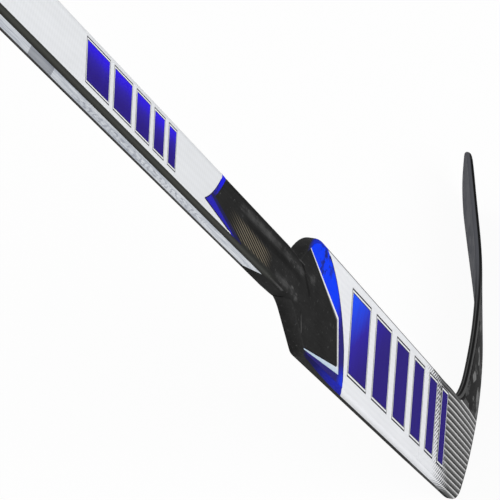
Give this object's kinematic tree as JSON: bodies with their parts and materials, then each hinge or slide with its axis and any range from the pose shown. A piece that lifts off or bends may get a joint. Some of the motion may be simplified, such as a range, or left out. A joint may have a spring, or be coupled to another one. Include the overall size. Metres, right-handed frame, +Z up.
{
  "type": "hockey goalie stick",
  "caption": "One-piece style ice-hockey goalie stick with a hollow shaft, a wide flat foam-core paddle and a curved blade, in its playing position",
  "frame": {"origin": "on the flat of the blade's sole near the heel, on the paddle's middle plane", "axes": "+X along the sole from heel to toe, +Z up with the sole flat on the ice and the shaft leaning to -X at the lie, -Y out of the front face; the blade curves to +Y"},
  "size_m": [1.0322, 0.0926, 1.3638],
  "materials": {
    "carbon": "satin lacquered carbon-fibre laminate, fine weave showing",
    "white_film": "glossy white printed film under clear lacquer",
    "blue_film": "metallic violet-blue printed film under clear lacquer",
    "silver_film": "silver-grey printed film under clear lacquer",
    "stripe_film": "silver-white pinstripe film under clear lacquer",
    "heel_film": "white film fading into grey and black stripes at the heel",
    "foam": "rigid closed-cell foam, cut faces",
    "tenon_wood": "laminated light hardwood, unfinished",
    "plug_plastic": "moulded black plastic, fine texture"
  },
  "bodies": {
    "root": {"shaft_tube": "carbon", "butt_plug": "plug_plastic", "shaft_film_front": "white_film", "shaft_film_back": "white_film", "shaft_band_front": "blue_film", "shaft_band_back": "blue_film", "shaft_film_rear": "silver_film", "shaft_film_toe": "silver_film", "shoulder_tenon": "tenon_wood", "shoulder_sleeve": "carbon", "paddle_film_front": "white_film", "paddle_film_back": "white_film", "shoulder_sweep_front": "blue_film", "shoulder_sweep_back": "blue_film", "shoulder_stripe_front": "stripe_film", "shoulder_stripe_back": "stripe_film", "paddle_rail_rear": "carbon", "paddle_rail_toe": "carbon", "paddle_skin_front": "carbon", "paddle_skin_back": "carbon", "paddle_rib_rear": "carbon", "paddle_rib_toe": "carbon", "paddle_core_rear": "foam", "paddle_core_toe": "foam", "paddle_core_middle": "foam", "blade_skin_front": "carbon", "blade_skin_back": "carbon", "blade_top_strip": "carbon", "blade_sole_strip": "carbon", "heel_block": "foam", "blade_rib": "carbon", "blade_core_lower": "foam", "blade_core_upper": "foam", "heel_film_front": "heel_film", "heel_film_back": "heel_film"}
  },
  "joints": []
}
